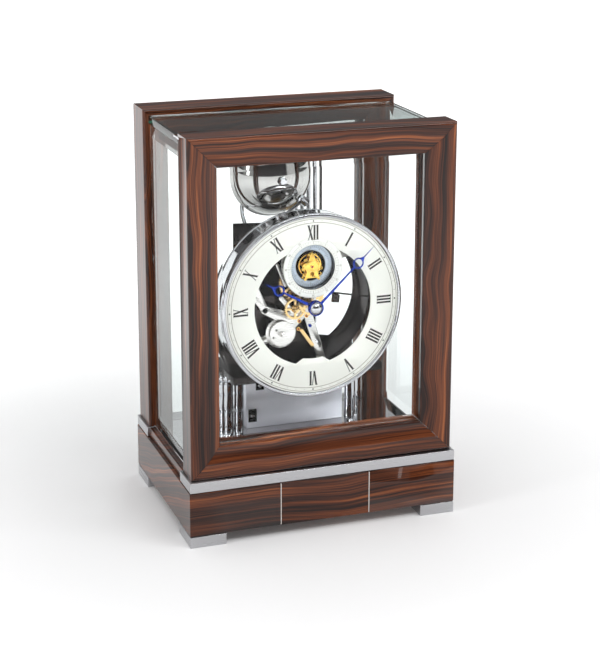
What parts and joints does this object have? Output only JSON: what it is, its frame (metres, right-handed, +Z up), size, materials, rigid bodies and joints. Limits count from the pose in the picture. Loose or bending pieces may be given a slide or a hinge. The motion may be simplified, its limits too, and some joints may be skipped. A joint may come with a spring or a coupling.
{
  "type": "mantel clock",
  "caption": "Glazed wooden mantel clock with a hinged door, a skeleton dial, a tourbillon, a bell and gong rods.",
  "frame": {"origin": "middle of the clock's footprint, on the surface it stands on", "axes": "+Z up, -Y out of the door towards the reader, +X to the reader's right"},
  "size_m": [0.266, 0.197, 0.386],
  "materials": {
    "macassar": "high-gloss lacquer over dark striped veneer",
    "satin_steel": "satin brushed",
    "inlay": "thin bright line",
    "mirror": "polished floor plate",
    "clear_glass": "clear, bevelled and polished",
    "chrome": "polished",
    "nickel": "fine-brushed nickel",
    "dark_plate": "dark satin plating",
    "dial": "ivory silver, satin",
    "blued_steel": "blued and polished",
    "brass": "polished",
    "gold": "gilt, polished"
  },
  "bodies": {
    "case": {"plinth": "macassar", "case_floor": "macassar", "back_rail_top": "macassar", "back_stile_left": "macassar", "back_stile_right": "macassar", "foot_front_left": "satin_steel", "foot_front_right": "satin_steel", "foot_rear_left": "satin_steel", "foot_rear_right": "satin_steel", "sill_front": "satin_steel", "sill_rear": "satin_steel", "pedestal": "satin_steel", "inlay_left": "inlay", "inlay_right": "inlay", "floor_plate": "mirror", "back_glass": "clear_glass", "glass_left": "clear_glass", "glass_right": "clear_glass", "glass_top": "clear_glass", "hinge_pin_lower": "chrome", "hinge_arm_upper": "chrome", "column_left_outer": "chrome", "column_left_inner": "chrome", "column_right_inner": "chrome", "column_right_outer": "chrome", "dial_bezel": "chrome", "dial_drum": "chrome", "bell": "chrome", "bell_stand": "chrome", "gong_rod_1": "chrome", "gong_rod_2": "chrome", "gong_rod_3": "chrome", "gong_rod_4": "chrome", "front_plate": "nickel", "hammer_frame": "nickel", "movement_seat": "dark_plate", "rear_plate": "dark_plate", "gong_block": "dark_plate", "dial": "dial"},
    "door": {"door_rail_top": "macassar", "door_rail_bottom": "macassar", "door_stile_left": "macassar", "door_stile_right": "macassar", "door_glass": "clear_glass"},
    "minute_arbor": {"centre_wheel": "brass", "minute_hand": "blued_steel", "hand_cap": "chrome"},
    "hour": {"hour_wheel": "brass", "hour_hand": "blued_steel"},
    "minute_wheel": {"minute_wheel": "brass"},
    "third_wheel": {"third_wheel": "brass"},
    "tourbillon_cage": {"tourbillon_cage": "gold"},
    "balance": {"balance_wheel": "chrome"},
    "going_barrel": {"going_barrel": "dark_plate"},
    "winding_arbor": {"winding_arbor": "nickel"},
    "bell_hammer": {"bell_hammer": "brass"},
    "chime_hammer_1": {"chime_hammer_1": "brass"},
    "chime_hammer_2": {"chime_hammer_2": "brass"},
    "chime_hammer_3": {"chime_hammer_3": "brass"},
    "chime_hammer_4": {"chime_hammer_4": "brass"}
  },
  "joints": [
    {"name": "door_hinge", "type": "hinge", "parent": "case", "child": "door", "pos_m": [-0.1275, -0.0668, 0.225], "axis": [0, 0, -1], "range_deg": [0, 110]},
    {"name": "minute_hand_turn", "type": "hinge", "parent": "case", "child": "minute_arbor", "pos_m": [0, -0.06, 0.212], "axis": [0, 1, 0], "continuous": true},
    {"name": "hour_hand_turn", "type": "hinge", "parent": "case", "child": "hour", "pos_m": [0, -0.06, 0.212], "axis": [0, 1, 0], "continuous": true},
    {"name": "minute_wheel_turn", "type": "hinge", "parent": "case", "child": "minute_wheel", "pos_m": [-0.01353, -0.048, 0.20707], "axis": [0, 1, 0], "continuous": true},
    {"name": "third_wheel_turn", "type": "hinge", "parent": "case", "child": "third_wheel", "pos_m": [-0.00945, -0.04, 0.23142], "axis": [0, 1, 0], "continuous": true},
    {"name": "tourbillon_turn", "type": "hinge", "parent": "case", "child": "tourbillon_cage", "pos_m": [0, -0.055, 0.2495], "axis": [0, 1, 0], "continuous": true},
    {"name": "going_barrel_turn", "type": "hinge", "parent": "case", "child": "going_barrel", "pos_m": [-0.02709, -0.03, 0.18395], "axis": [0, 1, 0], "continuous": true},
    {"name": "winding_arbor_turn", "type": "hinge", "parent": "case", "child": "winding_arbor", "pos_m": [-0.02709, -0.05, 0.18395], "axis": [0, 1, 0], "continuous": true},
    {"name": "balance_swing", "type": "hinge", "parent": "tourbillon_cage", "child": "balance", "pos_m": [0, -0.0536, 0.2495], "axis": [0, 1, 0], "range_deg": [-135, 135], "stiffness_Nm_per_rad": 0.0000024},
    {"name": "bell_hammer_swing", "type": "hinge", "parent": "case", "child": "bell_hammer", "pos_m": [-0.025, -0.01, 0.279], "axis": [0, 1, 0], "range_deg": [0, 10], "stiffness_Nm_per_rad": 0.01, "springref_deg": -28.65},
    {"name": "chime_hammer_1_swing", "type": "hinge", "parent": "case", "child": "chime_hammer_1", "pos_m": [0.01815, 0.027, 0.227], "axis": [1, 0, 0], "range_deg": [0, 20], "stiffness_Nm_per_rad": 0.004, "springref_deg": -17.19},
    {"name": "chime_hammer_2_swing", "type": "hinge", "parent": "case", "child": "chime_hammer_2", "pos_m": [0.02485, 0.027, 0.227], "axis": [1, 0, 0], "range_deg": [0, 20], "stiffness_Nm_per_rad": 0.004, "springref_deg": -17.19},
    {"name": "chime_hammer_3_swing", "type": "hinge", "parent": "case", "child": "chime_hammer_3", "pos_m": [0.03155, 0.027, 0.227], "axis": [1, 0, 0], "range_deg": [0, 20], "stiffness_Nm_per_rad": 0.004, "springref_deg": -17.19},
    {"name": "chime_hammer_4_swing", "type": "hinge", "parent": "case", "child": "chime_hammer_4", "pos_m": [0.03825, 0.027, 0.227], "axis": [1, 0, 0], "range_deg": [0, 20], "stiffness_Nm_per_rad": 0.004, "springref_deg": -17.19}
  ],
  "couplings": [
    {"joint": "hour_hand_turn", "follows": "minute_hand_turn", "ratio": 0.083333},
    {"joint": "minute_wheel_turn", "follows": "minute_hand_turn", "ratio": -0.33333},
    {"joint": "third_wheel_turn", "follows": "minute_hand_turn", "ratio": -8},
    {"joint": "tourbillon_turn", "follows": "minute_hand_turn", "ratio": 60},
    {"joint": "going_barrel_turn", "follows": "minute_hand_turn", "ratio": -0.11111}
  ]
}
